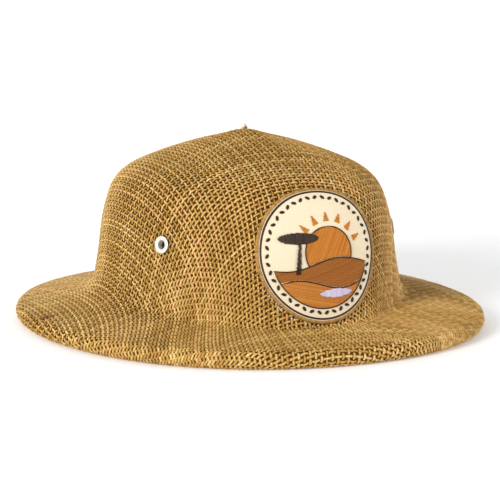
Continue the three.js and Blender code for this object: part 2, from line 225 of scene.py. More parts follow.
def crown_point(turn, along, lift=0.0):
    """A point of the crown's outside and its normal, from two short chords, one round and one down."""
    def outside_point(t, a):
        return turned(crown_section(t, a), t)

    turn, along = np.broadcast_arrays(np.asarray(turn, float), np.asarray(along, float))
    side = outside_point(turn + CHORD, along) - outside_point(turn - CHORD, along)
    down = outside_point(turn, np.minimum(along + CHORD, 1)) - outside_point(turn, along - CHORD)
    normal = unit(np.cross(down, side))
    return outside_point(turn, along) + normal * np.asarray(lift, float)[..., None], normal


def sheet_point(turn, distance):
    """The middle of the sheet and its outward normal."""
    place = np.mod(turn, 2 * np.pi) / (2 * np.pi) * DIRECTIONS
    row = np.clip(distance / PITCH, 0, table.shape[1] - 1.001)
    low, under = np.floor(place).astype(int), np.floor(row).astype(int)
    a, b = (place - low)[..., None], (row - under)[..., None]
    first, second = (
        table[side, under] * (1 - b) + table[side, under + 1] * b
        for side in (low % DIRECTIONS, (low + 1) % DIRECTIONS)
    )
    found = first * (1 - a) + second * a
    return turned(found[..., :2], turn), unit(turned(found[..., 2:], turn, 0))


PEAK = sheet_point(np.array(0.0), np.array(0.0))[0]
print("the peak lies at", PEAK.round(2))

# %% [markdown]
# ## From arrays to a piece
# A mesh is filled straight from numpy arrays. Each piece rides on the hat's one body, hides the solids that
# it stands for, and keeps its object at the origin.

# %% Mesh helpers
MM = 0.001


def make_piece(name, points, faces, finish, slot, nodes=(), uv=None, marks=None):
    """Fills a mesh with points in millimetres. faces is a list of arrays, one for each number of corners."""
    mesh = bpy.data.meshes.new(name)
    points = np.asarray(points, np.float32).reshape(-1, 3) * MM
    corners = np.concatenate([np.asarray(group).ravel() for group in faces])
    sizes = np.concatenate([np.full(len(group), np.shape(group)[1]) for group in faces])
    mesh.vertices.add(len(points))
    mesh.loops.add(len(corners))
    mesh.polygons.add(len(sizes))
    mesh.vertices.foreach_set("co", points.ravel())
    mesh.loops.foreach_set("vertex_index", corners.astype(np.int32))
    mesh.polygons.foreach_set("loop_start", (np.cumsum(sizes) - sizes).astype(np.int32))
    mesh.polygons.foreach_set("use_smooth", np.ones(len(sizes), bool))
    if uv is not None:
        mesh.uv_layers.new(name="OFBake").data.foreach_set("uv", np.asarray(uv, np.float32).ravel())
    for label, values in (marks or {}).items():
        attribute = mesh.attributes.new(label, "FLOAT", "POINT")
        attribute.data.foreach_set("value", np.asarray(values, np.float32).ravel())
    mesh.update(calc_edges=True)
    mesh.validate()
    mesh.materials.append(finish)
    piece = placed(name, mesh)
    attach(piece, "root")
    if nodes:
        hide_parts(*nodes)
    print("%-28s %7d triangles" % (name, int((sizes - 2).sum())))


def ring_faces(sides, rows, closed=True):
    """Quads of a grid that wraps round its sides, and along its rows too where it is closed."""
    number = np.arange(sides * rows).reshape(sides, rows)
    following = np.roll(number, -1, 0)
    quads = np.stack([number, np.roll(number, -1, 1), np.roll(following, -1, 1), following], -1)
    return quads[:, :rows if closed else -1].reshape(-1, 4)


def fans(hubs, rims):
    """Triangles from a point to each side of a closed rim, one fan that faces out and one in."""
    out, back = (np.stack([np.full(len(rim), hub), rim, np.roll(rim, -1)], -1) for hub, rim in zip(hubs, rims))
    return np.concatenate([out, back[:, [0, 2, 1]]])


# %% Strands as tubes
SIDES = 5
UV_MARGIN = 0.08  # between the strips of two strands on the texture map


def strand_mesh(path, normal, valid, half_width, half_height, along, sides=SIDES, rise=None, **others):
    """Tubes along many paths at once. Each ring is path + across*w*cos(a) + up*h*sin(a), with the tube's
    across = normal x way and up = way x across. Runs of valid samples become tubes with closed ends. The
    corners' marks are the place along the strand and round it, rise(sin(a)), and others by name."""
    joined = valid[:, 1:] & valid[:, :-1]
    ahead, behind = np.pad(joined, ((0, 0), (0, 1))), np.pad(joined, ((0, 0), (1, 0)))
    used = ahead | behind
    step = np.diff(path, axis=1) * joined[..., None]
    way = unit(np.pad(step, ((0, 0), (1, 0), (0, 0))) + np.pad(step, ((0, 0), (0, 1), (0, 0))))
    across = unit(np.cross(normal, way))
    up = np.cross(way, across)
    angle = (np.arange(sides) + 0.5) * 2 * np.pi / sides - np.pi / 2
    w = np.broadcast_to(half_width, valid.shape)[..., None, None]
    h = np.broadcast_to(half_height, valid.shape)[..., None, None]
    rings = across[:, :, None] * w * np.cos(angle)[:, None] + up[:, :, None] * h * np.sin(angle)[:, None]
    points = (path[:, :, None] + rings)[used]
    number = np.cumsum(used.ravel()).reshape(used.shape) - 1
    tube, sample = np.nonzero(joined)
    a = number[tube, sample][:, None] * sides + np.arange(sides)
    b = number[tube, sample + 1][:, None] * sides + np.arange(sides)
    quads = np.stack([a, np.roll(a, -1, 1), np.roll(b, -1, 1), b], -1).reshape(-1, 4)
    rows, length = valid.shape
    u = np.stack([sample, sample, sample + 1, sample + 1], -1)[:, None] / (length - 1) * np.ones((1, sides, 1))
    side = np.arange(sides)[:, None] + np.array([0, 1, 1, 0])
    v = (tube[:, None, None] + UV_MARGIN + (1 - 2 * UV_MARGIN) * side / sides) / rows
    uv = np.stack([u, v], -1).reshape(-1, 2)
    caps = []
    for ends, order in ((used & ~behind, -1), (used & ~ahead, 1)):
        tube, sample = np.nonzero(ends)
        caps.append(number[tube, sample][:, None] * sides + np.arange(sides)[::order])
        spot = np.stack([sample / (length - 1), (tube + 0.5) / rows], -1)
        uv = np.concatenate([uv, np.repeat(spot, sides, 0)])
    others["along"] = along
    marks = {
        label: np.repeat(np.broadcast_to(values, used.shape)[used], sides) for label, values in others.items()
    }
    count = int(used.sum())
    marks["around"] = np.tile(np.arange(sides) / sides, count)
    # The rise mark carries painted highlight and shade: the straw's colour is lighter where rise is high.
    if rise:
        marks["rise"] = np.tile(rise(np.sin(angle)), count)
    return points, [quads, np.concatenate(caps)], uv, marks


# %% [markdown]
# ## Shader maths as Python
# A small class wraps a socket, so that `1 - mask` or `tone * 0.3` adds Math nodes by itself. Every other node
# comes from one method, which sets the node's settings first and then its sockets.

# %% A material that is written as Python


class Number:
    """A number somewhere in a material. Its operators add Math nodes."""

    def __init__(self, finish, socket):
        self.finish, self.socket = finish, socket

    def math(self, operation, left, right=0.0):
        return self.finish.node("Math", {"operation": operation}, {0: left, 1: right})

    def __add__(self, other):
        return self.math("ADD", self, other)

    def __sub__(self, other):
        return self.math("SUBTRACT", self, other)

    def __rsub__(self, other):
        return self.math("SUBTRACT", other, self)

    def __mul__(self, other):
        return self.math("MULTIPLY", self, other)

    __radd__ = __add__

    def sine(self):
        return self.math("SINE", self)

    def clamp(self, low, high):
        """0 at low, 1 at high, straight between them."""
        sockets = {"Value": self, "From Min": low, "From Max": high}
        return self.finish.node("MapRange", {"clamp": True}, sockets)


class Finish:
    """A material being built."""

    def __init__(self, name):
        self.material = bpy.data.materials.new(name)
        self.material.use_nodes = True
        self.tree = self.material.node_tree
        self.tree.nodes.clear()

    def node(self, kind, settings=None, inputs=None, output=0):
        made = self.tree.nodes.new("ShaderNode" + kind)
        for name, value in (settings or {}).items():
            if name == "stops":
                ramp = made.color_ramp.elements
                while len(ramp) < len(value):
                    ramp.new(0.5)
                for stop, (place, colour) in zip(ramp, value):
                    stop.position, stop.color = place, (*colour, 1)
            else:
                setattr(made, name, value)
        for name, value in (inputs or {}).items():
            socket = made.inputs[name]
            if isinstance(value, Number):
                self.tree.links.new(value.socket, socket)
            else:
                socket.default_value = value
        return Number(self, made.outputs[output])

    def mark(self, label):
        """A number that the mesh carries at each point."""
        return self.node("Attribute", {"attribute_name": label}, output="Fac")

    def places(self):
        return self.node("TexCoord", output="Object")

    def noise(self, scale, detail=2.0):
        """Cloudy noise between 0 and 1, with scale patches to a metre."""
        return self.node("TexNoise", {}, {"Vector": self.places(), "Scale": scale, "Detail": detail})

    def ribs(self, run, pitch):
        """Even ridges from 0 to 1, a pitch apart along the run: 0.5 sin(2 pi run / pitch) + 0.5."""
        return (run * (2 * np.pi / pitch)).sine() * 0.5 + 0.5

    def twist(self, pitch):
        """Slanted ridges from 0 to 1, which climb once round the strand in each pitch along it."""
        return (self.mark("along") * (2 * np.pi / pitch) + self.mark("around") * (2 * np.pi)).sine() * 0.5 + 0.5

    def ramp(self, number, stops):
        return self.node("ValToRGB", {"stops": stops}, {"Fac": number})

    def mix(self, factor, first, second):
        """Colours mixed by a number; sockets 6 and 7 are the Mix node's colours."""
        return self.node("Mix", {"data_type": "RGBA"}, {0: factor, 6: first, 7: second}, output=2)

    def bump(self, height, distance, strength):
        return self.node("Bump", {}, {"Height": height, "Distance": distance, "Strength": strength})

    def done(self, **sockets):
        """Principled surface; names are the sockets' own, with _ for spaces."""
        named = {name.replace("_", " "): value for name, value in sockets.items()}
        shader = self.node("BsdfPrincipled", {}, named)
        surface = self.tree.nodes.new("ShaderNodeOutputMaterial").inputs["Surface"]
        self.tree.links.new(shader.socket, surface)
        return self.material


print("material helpers are ready")

# %% [markdown]
# ## Straw
# Each strand is twisted paper straw. It has a fine slanted grain along its twist, a colour of its own
# between honey and tan, a few strands that lean to pink or olive, and slow patches where the sun and
# the press have darkened it. Each strand is also painted lighter where its faces look out and darker at
# its sides, as painted highlight and shade. A small brown stain sits on the brim at the wearer's right.

# %% Straw finish
STAIN = (-0.128, 0.003, 0.012)  # metres


def straw_finish():
    straw = Finish("straw")
    twist = straw.twist(1.5)
    patches = straw.noise(38, 3.0)
    grain = straw.noise(900)
    depth = straw.mark("tone") * 0.38 + patches * 0.3 + twist * 0.12 + grain * 0.14
    # Painted highlight and shade: the rise mark lightens each strand where its faces look out and darkens it at
    # its sides.
    depth = depth + straw.mark("rise") * 0.34 - 0.1
    colour = straw.ramp(depth, [
        (0.0, (0.075, 0.029, 0.003)), (0.35, (0.255, 0.125, 0.015)),
        (0.62, (0.5, 0.284, 0.062)), (1.0, (0.92, 0.68, 0.3)),
    ])
    rosy = straw.mark("cast").clamp(0.8, 0.95)
    olive = straw.mark("cast").clamp(0.18, 0.05)
    colour = straw.mix(rosy * 0.35, colour, (0.72, 0.36, 0.16, 1))
    colour = straw.mix(olive * 0.3, colour, (0.42, 0.33, 0.1, 1))
    ends = {0: straw.places(), 1: STAIN}
    away = straw.node("VectorMath", {"operation": "DISTANCE"}, ends, output="Value")
    spot = (away + (straw.noise(420) - 0.5) * 0.003).clamp(0.0055, 0.0025)
    colour = straw.mix(spot * 0.75, colour, (0.17, 0.065, 0.015, 1))
    height = twist * 0.7 + grain * 0.6
    return straw.done(
        Base_Color=colour, Roughness=0.62 - depth * 0.12, Normal=straw.bump(height, 0.00012, 0.8),
        Specular_IOR_Level=0.28,
    )


STRAW = straw_finish()
print("made the finish", STRAW.name)

# %% [markdown]
# ## The weave
# A real hat body starts as flat woven cloth and is pressed over a block. So the weave is drawn flat first: two
# families of straight strands, over and under each other. The flat cloth is then laid on the hat like a map
# round the pole. Straw hardly stretches, so where the block narrows the net shears: on the diagonals
# its squares become slim upright diamonds, which grow longer as they grow slimmer, while in front, behind
# and at the sides they stay square. The press also turns the cloth a little as it closes.

# %% Weave sizes
WARP_PITCH, WEFT_PITCH = 3.06, 2.83  # between lengthwise strands, and between crosswise ones
STRAND_HALF_WIDTH, STRAND_HALF_HEIGHT = 0.68, 0.44
NARROWEST, WIDEST = 0.52, 0.86  # half widths
WAVE_HEIGHT = 0.46
FLAT_TOP = 0.2  # share of a pitch that a strand stays level on each side of a crossing
EYELET_CLEARANCE = 1.3  # from an eyelet's bore to the cut strands
SPREADING = np.array([  # a strand's width, by its distance from the peak
    (0, 1.1), (60, 1.06), (90, 0.96), (125, 0.96), (150, 1.07), (175, 1.2),
])
GATHERING = np.array([(30, 0.107), (70, 0.057), (100, 0.17), (130, 0.32), (160, 0.46), (195, 0.51)])
LENGTHENING, LENGTHENING_AT = 0.2, 200  # share by which a diagonal falls short in the cloth, and where
LENGTHENING_END, END_STEEPNESS = 160, 0.8  # beyond this distance the cloth runs on at an even slope
FINE_GATHERING, OVAL_SHIFT, TWIST, SHIFTED_AT = 0.07, -0.145, -0.095, 150  # radians, at this distance
SWAY, SWAY_LENGTH = (0.15, 0.09), (23, 7.3)  # a slow and a quick wandering of each strand
WIDTH_SPREAD, SWELL, SWELL_LENGTH = 0.09, 0.05, 5.1
DRIFT_LENGTHS = 31, 12  # of the tone along a strand
EYELET_TURN, EYELET_RISE = np.radians(59), 0.39
EYELET_FLANGE, EYELET_BORE, EYELET_METAL = 5.0, 2.5, 0.6
trial = np.linspace(0, 1, 4001)
eyelet_along = trial[np.argmin(np.abs(crown_curve(trial)[:, 1] - EYELET_RISE))]
EYELET_SEATS = [crown_point(side * EYELET_TURN, eyelet_along) for side in (-1, 1)]
print("eyelets sit at", [seat.round(1).tolist() for seat, _ in EYELET_SEATS])


def net_to_sheet(x, y):
    """Flat cloth to sheet. The turn is t + gathering/4 sin 4t + fine/8 sin 8t + oval/2 sin 2t + twist. On a
    diagonal the distance d from the peak lies d (1 - lengthening (d/200)^2) from it in the flat cloth."""
    flat, direction = np.hypot(x, y), np.arctan2(x, -y)
    diagonal = (1 - np.cos(4 * direction)) / 2
    reached = np.arange(0, full_length.max() + 30, 1.0)
    early = np.minimum(reached, LENGTHENING_END)
    slope = 1 - 3 * LENGTHENING * (LENGTHENING_END / LENGTHENING_AT) ** 2 * END_STEEPNESS
    flattened = early * (1 - LENGTHENING * (early / LENGTHENING_AT) ** 2) + (reached - early) * slope
    straight = np.minimum(flat, reached[-1])
    distance = straight * (1 - diagonal) + np.interp(flat, flattened, reached) * diagonal
    far = distance / SHIFTED_AT
    turn = (
        direction + np.interp(distance, *GATHERING.T) / 4 * np.sin(4 * direction)
        + FINE_GATHERING / 8 * far**2 * np.sin(8 * direction)
        + OVAL_SHIFT / 2 * far * np.sin(2 * direction) + TWIST * far
    )
    return turn, distance


# %% Strands of the weave
reach = int(full_length.max() / min(WARP_PITCH, WEFT_PITCH)) + 1
numbers = np.arange(-reach, reach + 1)


def weave(lengthwise, keep):
    """One family of strands: straight lines in the flat cloth, a pitch apart, with two samples to a
    crossing. The height is +wave over and -wave under, and alternates from crossing to crossing."""
    own_pitch, cross_pitch = (WARP_PITCH, WEFT_PITCH) if lengthwise else (WEFT_PITCH, WARP_PITCH)
    strand, crossing = numbers[keep], numbers
    along = (crossing[:, None] + np.array([-FLAT_TOP, FLAT_TOP])).ravel() * cross_pitch
    over = np.where((strand[:, None] + np.repeat(crossing, 2)) % 2 == 0, 1, -1) * (1 if lengthwise else -1)
    seed = np.random.default_rng(5 if lengthwise else 6)
    phase = seed.uniform(0, 2 * np.pi, (len(numbers), 2))[keep]
    slow, quick = (np.sin(along / SWAY_LENGTH[k] + phase[:, k : k + 1]) * SWAY[k] for k in range(2))
    line = strand[:, None] * own_pitch + (slow + quick)
    along = np.broadcast_to(along, line.shape)
    x, y = (line, along) if lengthwise else (along, line)
    turn, distance = net_to_sheet(x, y)
    point, normal = sheet_point(turn, distance)
    valid = distance < np.interp(turn, turns, full_length, period=2 * np.pi)
    for seat, _ in EYELET_SEATS:
        valid &= np.linalg.norm(point - seat, axis=-1) > EYELET_BORE + EYELET_CLEARANCE
    width = STRAND_HALF_WIDTH * (1 + WIDTH_SPREAD * seed.standard_normal((len(numbers), 1))[keep])
    width = np.clip(width, NARROWEST, WIDEST) * (1 + SWELL * np.sin(along / SWELL_LENGTH + phase[:, :1] * 3))
    width *= np.interp(distance, *SPREADING.T)
    path = point + normal * (over * WAVE_HEIGHT)[..., None]
    own = seed.uniform(0, 1, (2, len(numbers), 1))[:, keep]
    first, second = (np.sin(along / DRIFT_LENGTHS[k] + phase[:, k : k + 1] * (2 - k)) for k in range(2))
    drift = 0.5 + 0.5 * first * second
    marks = {"tone": 0.75 * own[0] + 0.25 * drift, "cast": own[1]}
    # rise=np.abs: painted highlight on both broad faces of each strand, painted shade at its sides.
    return strand_mesh(path, normal, valid, width, STRAND_HALF_HEIGHT, along, rise=np.abs, **marks)


third = round(0.27 * reach)  # near the middle the strands are longest, so the middle piece takes fewer
parts = np.digitize(numbers, (-third, third + 1)) + 1
for part in (1, 2, 3):
    for family in ("lengthwise", "crosswise"):
        points, faces, uv, marks = weave(family == "lengthwise", parts == part)
        make_piece("weave_%s_%d" % (family, part), points, faces, STRAW, "straw", ("hat_body",), uv, marks)

# %% [markdown]
# ## Painted shade in the holes
# A dark sheet between the strands is painted shade: it stands for the shade inside the holes, and no light
# comes through the holes for that reason. It is one closed film, a tenth of a millimetre thick,
# in the middle of the sheet between over and under, with a hole for each eyelet.

# %% Painted shade sheet between the strands
FILM_HALF, FILM_HOLE = 0.05, 3.4  # half its thickness, and its hole's radius
# rows of the section: crown, fillet, brim, roll and hem
FILM_ROWS = np.unique(np.r_[3:160:3, 160:173:4, 173:213:5, 213:238:2, 238:253:3, 253])


def shade_sheet_finish():
    film = Finish("painted_hole_shade")
    cloud = film.noise(260, 3.0)
    # Painted shade: the dark brown of this sheet stands for the shade inside the holes.
    colour = film.ramp(cloud, [(0.25, (0.038, 0.014, 0.002)), (0.75, (0.1, 0.041, 0.007))])
    bump = film.bump(cloud, 0.0002, 0.5)
    return film.done(Base_Color=colour, Roughness=0.85 - cloud * 0.1, Normal=bump, Specular_IOR_Level=0.02)


def shade_sheet_mesh():
    """Two layers, half a film's thickness each side of the sheet's middle, joined where a quad's neighbour is
    missing, and closed by a fan at the peak. The quads over an eyelet go, and their rim is made a circle."""
    turn = turns[::3, None]
    columns, rows = len(turn), len(FILM_ROWS)
    centre = turned(middle[::3, FILM_ROWS], turn)
    normal = turned(facing[::3, FILM_ROWS], turn, 0)
    kept = np.ones((columns, rows - 1), bool)
    for seat, axis in EYELET_SEATS:
        column, row = np.unravel_index(np.linalg.norm(centre - seat, axis=-1).argmin(), (columns, rows))
        across, down = (column + np.arange(-2, 3)) % columns, row + np.arange(-1, 2)
        block = np.ix_(across, down)
        offset = centre[block] - seat
        offset -= (offset @ axis)[..., None] * axis
        centre[block] += offset * (FILM_HOLE / np.linalg.norm(offset, axis=-1, keepdims=True) - 1)
        kept[np.ix_(across[:-1], down[:-1])] = False
    layers = np.stack([centre + normal * FILM_HALF, centre - normal * FILM_HALF])
    number = np.arange(2 * columns * rows).reshape(2, columns, rows)
    a = number[:, :, :-1]
    b, c, d = number[:, :, 1:], np.roll(number, -1, 1)[:, :, 1:], np.roll(number, -1, 1)[:, :, :-1]
    outer = np.stack([a[0], b[0], c[0], d[0]], -1)[kept]
    inner = np.stack([d[1], c[1], b[1], a[1]], -1)[kept]
    below, above = np.zeros_like(kept), np.ones_like(kept)
    below[:, :-1], above[:, 1:] = kept[:, 1:], kept[:, :-1]
    walls = [
        np.stack([q[0], p[0], p[1], q[1]], -1)[kept & ~near]
        for p, q, near in (
            (a, b, np.roll(kept, 1, 0)), (b, c, below), (c, d, np.roll(kept, -1, 0)), (d, a, above),
        )
    ]
    peak = layers[:, :, 0].mean(1) + (0, 0, 0.1)
    points = np.concatenate([layers.reshape(-1, 3), peak])
    faces = [np.concatenate([outer, inner, *walls]), fans(number.size + np.arange(2), number[:, :, 0])]
    used = np.unique(np.concatenate([group.ravel() for group in faces]))
    return points[used], [np.searchsorted(used, group) for group in faces]


# The sheet of painted shade in the holes.
make_piece("painted_shade_in_the_holes", *shade_sheet_mesh(), shade_sheet_finish(), "straw", ("hat_body",))

# %% [markdown]
# ## Eyelets
# Each vent eyelet is stamped from thin white-coated metal: a domed flange outside, a barrel through the
# straw, and the metal rolled over inside. A turned profile gives all of it in one closed ring.

# %% Eyelets
ROLLED_RADIUS, EYELET_GAP = 4.4, 0.3
WALL_INSIDE = -2.594  # the rolled metal's seat inside, measured from the straw's outside


def quarter(centre, size, first, last, steps=7):
    """Part of an ellipse round centre, from one angle to another in degrees."""
    angle = np.radians(np.linspace(first, last, steps))
    return np.stack([centre[0] + size[0] * np.cos(angle), centre[1] + size[1] * np.sin(angle)], 1)


def eyelet_profile():
    """Radius and height above the straw, once round the metal's section, bore first."""
    top, floor = EYELET_GAP + EYELET_METAL, WALL_INSIDE - EYELET_METAL
    return np.concatenate([
        quarter((EYELET_BORE + 0.7, top - 0.7), (0.7, 0.7), 180, 90),
        quarter((EYELET_FLANGE - 0.45, top - 0.45), (0.45, 0.38), 80, -60),
        [(EYELET_BORE + EYELET_METAL, EYELET_GAP - 0.1), (EYELET_BORE + EYELET_METAL, WALL_INSIDE)],
        quarter((ROLLED_RADIUS - 0.3, WALL_INSIDE - 0.3), (0.3, 0.3), 80, -80),
        quarter((EYELET_BORE + 0.4, floor + 0.4), (0.4, 0.4), 270, 180),
    ])


def turned_ring(profile, seat, axis, sides=72):
    """Lathe: seat + r (cos a * side + sin a * other) + h * axis."""
    side = unit(np.cross(axis, (0, 0, 1)))
    other = np.cross(axis, side)
    angle = full_circle(sides)[:, None]
    spoke = np.cos(angle) * side + np.sin(angle) * other
    points = seat + spoke[:, None] * profile[:, :1] + axis * profile[:, 1:]
    return points, [ring_faces(sides, len(profile))]


def eyelet_finish():
    metal = Finish("eyelet_coating")
    cloud = metal.noise(700, 3.0)
    scuffs = metal.noise(2600).clamp(0.62, 0.75)
    colour = metal.ramp(cloud, [(0.3, (0.62, 0.6, 0.54)), (0.7, (0.76, 0.75, 0.7))])
    colour = metal.mix(scuffs * 0.35, colour, (0.42, 0.38, 0.3, 1))
    return metal.done(
        Base_Color=colour, Metallic=0.35 - scuffs * 0.2, Roughness=0.34 + scuffs * 0.25 + cloud * 0.1,
        Normal=metal.bump(cloud, 0.00005, 0.4),
    )


EYELET_FINISH = eyelet_finish()
for (seat, axis), side in zip(EYELET_SEATS, ("right", "left")):
    points, faces = turned_ring(eyelet_profile(), seat, axis)
    make_piece("eyelet_%s_ring" % side, points, faces, EYELET_FINISH, "eyelet_metal", ("eyelet_%s" % side,))

# %% [markdown]
# ## Loose ends
# At the very peak a few cut ends of straw stand up in a small tuft. Each is a short curved strand that thins
# towards its tip.

# %% Tuft at the peak
TUFT = [  # turn, length, lean
    (0.4, 3.0, 0.5), (1.5, 2.2, 0.9), (2.7, 3.3, 0.35), (3.6, 1.9, 1.0), (4.7, 2.7, 0.6), (5.6, 2.0, 0.8),
    (0.0, 3.6, 0.12),
]


def tuft():
    """Each end rises as t^0.8 while it leans out as t^1.6, from a foot just under the peak."""
    turn, length, lean = (np.array(column)[:, None] for column in zip(*TUFT))
    t = np.linspace(0, 1, 9)[None]
    out = 0.5 + length * lean * t**1.6
    rise = -0.6 + length * np.sqrt(np.maximum(1.2 - lean**2 * 0.8, 0.1)) * t**0.8
    path = PEAK + np.stack([out * np.sin(turn), -out * np.cos(turn), rise + 0.6], -1)
    normal = np.broadcast_to(np.stack([np.cos(turn), np.sin(turn), 0 * turn], -1), path.shape)
    half_width, half_height = 0.5 * (1 - 0.6 * t), 0.32 * (1 - 0.4 * t)
    every, marks = np.ones(path.shape[:2], bool), {"tone": 0.75, "cast": 0.5}
    # rise=np.positive: painted highlight on the side of each end that faces out from the peak, painted shade on
    # the other.
    return strand_mesh(path, normal, every, half_width, half_height, t * length, rise=np.positive, **marks)


points, faces, uv, marks = tuft()
make_piece("tuft_at_the_peak", points, faces, STRAW, "straw", (), uv, marks)

# %% [markdown]
# ## The patch's own map
# The patch is a flat disc sewn to the front of the crown, so it bends with it. Its places are measured
# on the straw: u to the right round the crown, v up the front, both in millimetres from its middle. Turned
# places are easier as complex numbers, u + iv.

# %% Points of the patch
PATCH_RADIUS, PATCH_FOOT = 38.8, 0.2
BORDER_WIDTH, BORDER_HEIGHT, RING_WIDTH = 2.2, 1.3, 1.0
PATCH_GAP, TWILL = 0.3, 0.6
patch_centre = HEADLINE_FILLET[0] + PATCH_FOOT + PATCH_RADIUS
border_inner = PATCH_RADIUS - BORDER_WIDTH
ring_outer = border_inner - PATCH_GAP
ring_inner = ring_outer - RING_WIDTH
field_radius = ring_inner - PATCH_GAP
twill_top = PATCH_GAP + TWILL
front_along = np.linspace(1, 0, 401)
front_line, _ = crown_point(0.0, front_along)
front_distance = np.concatenate([[0], np.cumsum(np.linalg.norm(np.diff(front_line, axis=0), axis=1))])
STRIDES = 12


def patch_point(u, v, lift):
    """Up the front by v, then round the crown by u in twelve strides, then out along the normal."""
    u, v, lift = np.broadcast_arrays(*(np.asarray(value, float) for value in (u, v, lift)))
    along = np.interp(patch_centre + v, front_distance, front_along)
    turn = np.zeros_like(along)
    for _ in range(STRIDES):
        step = crown_point(turn + CHORD, along)[0] - crown_point(turn, along)[0]
        turn = turn + u / STRIDES / (np.linalg.norm(step, axis=-1) / CHORD)
    return crown_point(turn, along, lift)


def polar(radius, angle):
    """The place at a radius and an angle, r exp(ia); it also turns a place r by the angle."""
    return radius * np.exp(1j * angle)


def round_grid(radius, lift, sides):
    """Points at every turn of a circle for rows of radius and lift: [sides, rows, 3]."""
    spot = polar(radius, full_circle(sides)[:, None])
    return patch_point(spot.real, spot.imag, lift)[0]


print("the patch's middle:", patch_point(0, 0, 0)[0].round(1), "and its field's radius: %.1f mm" % field_radius)

# %% [markdown]
# ## Thread
# All the thread on the patch is rayon with a fine twist and a soft gloss, and its colour varies a little
# from thread to thread. One recipe makes every colour of it.

# %% Thread finishes


def thread_finish(name, dark, light, shine=0.42):
    thread = Finish(name)
    own = thread.mark("tone")
    twist = thread.twist(0.9)
    wear = thread.noise(900, 3.0)
    depth = own * 0.45 + twist * 0.25 + wear * 0.3
    colour = thread.ramp(depth, [(0.15, dark), (0.85, light)])
    return thread.done(
        Base_Color=colour, Roughness=shine + 0.2 - depth * 0.15, Specular_IOR_Level=0.3,
        Normal=thread.bump(twist * 0.6 + wear * 0.5, 0.00008, 0.7),
    )


THREADS = {
    colour: thread_finish(colour + "_thread", dark, light) for colour, dark, light in (
        ("border", (0.215, 0.098, 0.016), (0.49, 0.262, 0.072)),
        ("dark", (0.011, 0.004, 0.001), (0.046, 0.02, 0.007)),
        ("amber", (0.38, 0.105, 0.004), (0.68, 0.255, 0.02)),
        ("russet", (0.24, 0.07, 0.005), (0.43, 0.145, 0.015)),
        ("lilac", (0.48, 0.4, 0.56), (0.72, 0.65, 0.79)),
    )
}


def thread_piece(name, colour, nodes, mesh):
    """A piece of thread, which needs no texture map."""
    points, faces, _, marks = mesh
    make_piece(name, points, faces, THREADS[colour], colour + "_thread", nodes, marks=marks)


print("thread colours:", ", ".join(THREADS))

# %% [markdown]
# ## Cloth, dark line and border
# The cream ground is twill: fine ribs that climb from left to right. Round it runs a line of dark
# satin stitch, and the raw edge is wound all round with a thick tan thread, stitch beside stitch.

# %% Cloth of the patch
TWILL_RIB, TWILL_YARN = 0.85, 0.55


def twill_finish():
    cloth = Finish("cream_twill")
    rib = cloth.ribs(cloth.mark("across") * 0.8 + cloth.mark("up") * 0.6, TWILL_RIB)
    yarn = cloth.ribs(cloth.mark("across") * 0.6 - cloth.mark("up") * 0.8, TWILL_YARN)
    fluff = cloth.noise(1500, 3.0)
    cloud = cloth.noise(60)
    depth = rib * 0.3 + yarn * 0.15 + fluff * 0.35 + cloud * 0.2
    colour = cloth.ramp(depth, [
        (0.1, (0.52, 0.42, 0.28)), (0.5, (0.74, 0.62, 0.43)), (0.9, (0.83, 0.725, 0.54)),
    ])
    bump = cloth.bump(rib * 0.6 + yarn * 0.25 + fluff * 0.3, 0.00012, 0.8)
    return cloth.done(Base_Color=colour, Roughness=0.85 - rib * 0.1, Normal=bump, Sheen_Weight=0.1)


def cloth_disc(radius, low, high, sides=120, rings=30):
    """A round sheet: top rings outwards, underside rings inwards, and a fan at each middle."""
    spread = radius * np.linspace(0, 1, rings + 1)[1:]
    rows = np.concatenate([spread, spread[::-1]])
    points = round_grid(rows, np.repeat([high, low], rings), sides)
    ends = patch_point(0, 0, np.array([high, low]))[0]
    first = np.arange(sides) * 2 * rings
    hubs = sides * 2 * rings + np.arange(2)
    spot = polar(rows, full_circle(sides)[:, None])
    marks = {"across": np.append(spot.real, [0, 0]), "up": np.append(spot.imag, [0, 0])}
    faces = [ring_faces(sides, 2 * rings, closed=False), fans(hubs, (first, first + 2 * rings - 1))]
    return np.concatenate([points.reshape(-1, 3), ends]), faces, marks


points, faces, marks = cloth_disc(border_inner + 1.2, 0.15, twill_top)
make_piece("patch_cloth", points, faces, twill_finish(), "patch_twill", ("patch_ground",), marks=marks)

# %% Wound thread rings


def wound_ring(centre, half_width, height, foot, stitches, lean, samples=4, rows=9):
    """A half oval carried round a circle, foot + height sin b. Each stitch swells it by
    1 + 0.09 cos(n a + lean b)."""
    sides = stitches * samples
    angle = full_circle(sides)[:, None]
    bend = np.linspace(np.pi, 0, rows)
    swell = 1 + 0.09 * np.cos(stitches * angle + lean * bend)
    radius = centre + half_width * np.cos(bend) * (1 + (swell - 1) * 0.5)
    lift = foot + height * np.sin(bend) * swell
    tone = np.random.default_rng(stitches).uniform(0, 1, stitches)
    marks = {
        "tone": np.repeat(tone, samples * rows), "along": np.ones((sides, 1)) * bend * half_width,
        "around": (stitches * angle + lean * bend) / (2 * np.pi),
    }
    return round_grid(radius, lift, sides), [ring_faces(sides, rows)], None, marks


border_ring = wound_ring(PATCH_RADIUS - BORDER_WIDTH / 2, BORDER_WIDTH / 2, BORDER_HEIGHT, 0.1, 300, 2.2)
thread_piece("patch_border_thread", "border", ("patch_border",), border_ring)
ring_middle = (ring_outer + ring_inner) / 2 + 0.1
dark_ring = wound_ring(ring_middle, RING_WIDTH / 2 + 0.1, 0.55, twill_top - 0.1, 380, 1.5, samples=3, rows=7)
thread_piece("patch_ring_thread", "dark", ("patch_ring",), dark_ring)

# %% [markdown]
# ## Stitched pictures
# A fill stitch lays rows of thread side by side. Each motif is a rule that says which places are inside. Rows
# of samples are laid across it at the stitch's own angle, and each run of inside samples becomes a thread.

